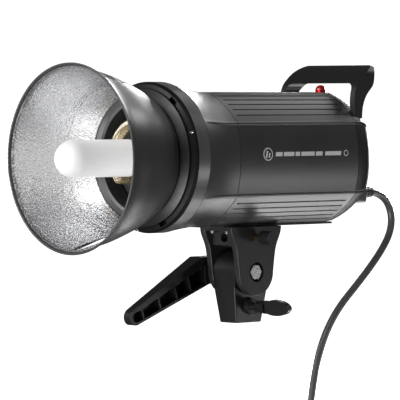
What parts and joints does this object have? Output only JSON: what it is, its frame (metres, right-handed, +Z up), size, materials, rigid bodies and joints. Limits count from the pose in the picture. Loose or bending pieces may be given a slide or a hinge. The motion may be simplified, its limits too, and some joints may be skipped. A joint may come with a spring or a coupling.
{
  "type": "monolight strobe",
  "caption": "Studio monolight strobe on a tilting stand bracket, with bell reflector, frosted modelling lamp, rear control panel, carrying handle and coiled mains lead.",
  "frame": {"origin": "centre of the mouth of the stand socket, on the socket axis", "axes": "+Z up along the socket axis into the socket; the lamp shines along -Y; +X is the side with the stand clamp knob"},
  "size_m": [0.178, 0.4274, 0.4346],
  "materials": {
    "shell_paint": "satin charcoal",
    "bezel_paint": "satin grey",
    "black_plastic": "fine grained black",
    "handle_plastic": "satin black",
    "cover_plastic": "satin black",
    "panel_plastic": "fine grained",
    "reflector_metal": "charcoal lacquer outside, hammered silver inside",
    "collar_metal": "dark anodised",
    "ring_metal": "black anodised",
    "steel": "bright zinc",
    "chrome": "polished",
    "brass": "turned",
    "ceramic": "unglazed ivory",
    "tube_glass": "quartz, gold coated",
    "lamp_glass": "frosted",
    "display_glass": "smoked",
    "button_plastic": "satin grey",
    "dial_plastic": "fluted",
    "red_plastic": "clear red",
    "rocker_plastic": "gloss",
    "can_sleeve": "shrink sleeve",
    "board": "green laminate",
    "tray_metal": "mill finish",
    "copper_block": "varnished laminations and winding",
    "fan_plastic": "moulded",
    "bracket_metal": "black powder coat",
    "lever_plastic": "glass filled nylon",
    "fibre": "fibre",
    "cord_rubber": "satin black"
  },
  "bodies": {
    "stand_bracket": {"stand_head": "bracket_metal"},
    "housing": {"mount_ring": "ring_metal", "mount_screws": "chrome", "front_bezel": "bezel_paint", "lamp_plate": "ceramic", "flash_tube": "tube_glass", "modelling_lamp": "lamp_glass", "lamp_cap": "brass", "lamp_socket": "ceramic", "front_bulkhead": "tray_metal", "front_shroud": "shell_paint", "main_shell": "shell_paint", "bottom_rail": "bracket_metal", "rear_cover": "cover_plastic", "handle": "handle_plastic", "control_panel": "panel_plastic", "display_window": "display_glass", "switch_frame": "black_plastic", "fuse_holder": "black_plastic", "sync_socket": "steel", "mains_inlet": "black_plastic", "slave_dome": "red_plastic", "panel_screws": "steel", "chassis_tray": "tray_metal", "capacitors": "can_sleeve", "power_board": "board", "transformer": "copper_block", "fan_frame": "fan_plastic", "control_board": "board", "yoke": "bracket_metal", "yoke_screws": "steel", "tilt_bolt": "chrome", "tilt_washers": "fibre", "cord_connector": "cord_rubber", "cord_relief": "cord_rubber", "cord_lead": "cord_rubber", "cord_coil": "cord_rubber", "cord_tie": "cord_rubber", "mains_plug": "cord_rubber"},
    "clamp_shoe": {"clamp_pad": "brass"},
    "clamp_knob": {"clamp_screw": "steel", "clamp_paddle": "lever_plastic"},
    "lever": {"tilt_lever": "lever_plastic", "lever_nut": "brass"},
    "umbrella_shoe": {"umbrella_tip": "brass"},
    "umbrella_thumbscrew": {"umbrella_screw": "brass", "umbrella_knob": "black_plastic"},
    "reflector_assembly": {"reflector": "reflector_metal", "reflector_collar": "collar_metal"},
    "mount_release": {"release_slider": "black_plastic", "lock_pin": "steel"},
    "dial": {"power_dial": "dial_plastic"},
    "key_lamp": {"lamp_button": "button_plastic"},
    "key_sound": {"sound_button": "button_plastic"},
    "key_slave": {"slave_button": "button_plastic"},
    "key_channel": {"channel_button": "button_plastic"},
    "key_test": {"test_button": "button_plastic"},
    "rocker": {"power_rocker": "rocker_plastic"},
    "fuse_carrier": {"fuse_cap": "black_plastic"},
    "rotor": {"fan_rotor": "fan_plastic"}
  },
  "joints": [
    {"name": "tilt", "type": "hinge", "parent": "stand_bracket", "child": "housing", "pos_m": [0, 0, 0.0493], "axis": [1, 0, 0], "range_deg": [-75, 90]},
    {"name": "clamp_shoe_travel", "type": "slide", "parent": "stand_bracket", "child": "clamp_shoe", "axis": [1, 0, 0], "range_m": [-0.002, 0.003]},
    {"name": "clamp_turn", "type": "hinge", "parent": "clamp_shoe", "child": "clamp_knob", "pos_m": [0.02, 0, 0.016], "axis": [1, 0, 0], "range_deg": [-576, 864]},
    {"name": "tilt_lever_turn", "type": "hinge", "parent": "housing", "child": "lever", "pos_m": [-0.03, 0, 0.0493], "axis": [1, 0, 0], "range_deg": [-35, 120]},
    {"name": "umbrella_shoe_travel", "type": "slide", "parent": "housing", "child": "umbrella_shoe", "axis": [1, 0, 0], "range_m": [-0.003, 0.004]},
    {"name": "umbrella_screw_turn", "type": "hinge", "parent": "umbrella_shoe", "child": "umbrella_thumbscrew", "pos_m": [0.02, 0, 0.0827], "axis": [1, 0, 0], "range_deg": [-1080, 1440]},
    {"name": "reflector_twist", "type": "hinge", "parent": "housing", "child": "reflector_assembly", "pos_m": [0, -0.124, 0.161], "axis": [0, 1, 0], "range_deg": [0, 20]},
    {"name": "release_slide", "type": "slide", "parent": "housing", "child": "mount_release", "axis": [0, 1, 0], "range_m": [0, 0.003], "stiffness_N_per_m": 500, "springref_m": -0.002},
    {"name": "dial_turn", "type": "hinge", "parent": "housing", "child": "dial", "pos_m": [-0.017, 0.121, 0.159], "axis": [0, 1, 0], "continuous": true},
    {"name": "lamp_button_press", "type": "slide", "parent": "housing", "child": "key_lamp", "axis": [0, -1, 0], "range_m": [0, 0.001], "stiffness_N_per_m": 300, "springref_m": -0.0012},
    {"name": "sound_button_press", "type": "slide", "parent": "housing", "child": "key_sound", "axis": [0, -1, 0], "range_m": [0, 0.001], "stiffness_N_per_m": 300, "springref_m": -0.0012},
    {"name": "slave_button_press", "type": "slide", "parent": "housing", "child": "key_slave", "axis": [0, -1, 0], "range_m": [0, 0.001], "stiffness_N_per_m": 300, "springref_m": -0.0012},
    {"name": "channel_button_press", "type": "slide", "parent": "housing", "child": "key_channel", "axis": [0, -1, 0], "range_m": [0, 0.001], "stiffness_N_per_m": 300, "springref_m": -0.0012},
    {"name": "test_button_press", "type": "slide", "parent": "housing", "child": "key_test", "axis": [0, -1, 0], "range_m": [0, 0.001], "stiffness_N_per_m": 300, "springref_m": -0.0012},
    {"name": "rocker_throw", "type": "hinge", "parent": "housing", "child": "rocker", "pos_m": [-0.02, 0.111, 0.129], "axis": [1, 0, 0], "range_deg": [-18, 0]},
    {"name": "fuse_cap_turn", "type": "hinge", "parent": "housing", "child": "fuse_carrier", "pos_m": [-0.003, 0.118, 0.127], "axis": [0, 1, 0], "range_deg": [0, 90]},
    {"name": "fan_spin", "type": "hinge", "parent": "housing", "child": "rotor", "pos_m": [0, 0.081, 0.151], "axis": [0, 1, 0], "continuous": true}
  ],
  "couplings": [
    {"joint": "clamp_shoe_travel", "follows": "clamp_turn", "m_per_rad": 0.00019894},
    {"joint": "umbrella_shoe_travel", "follows": "umbrella_screw_turn", "m_per_rad": 0.00015915}
  ]
}
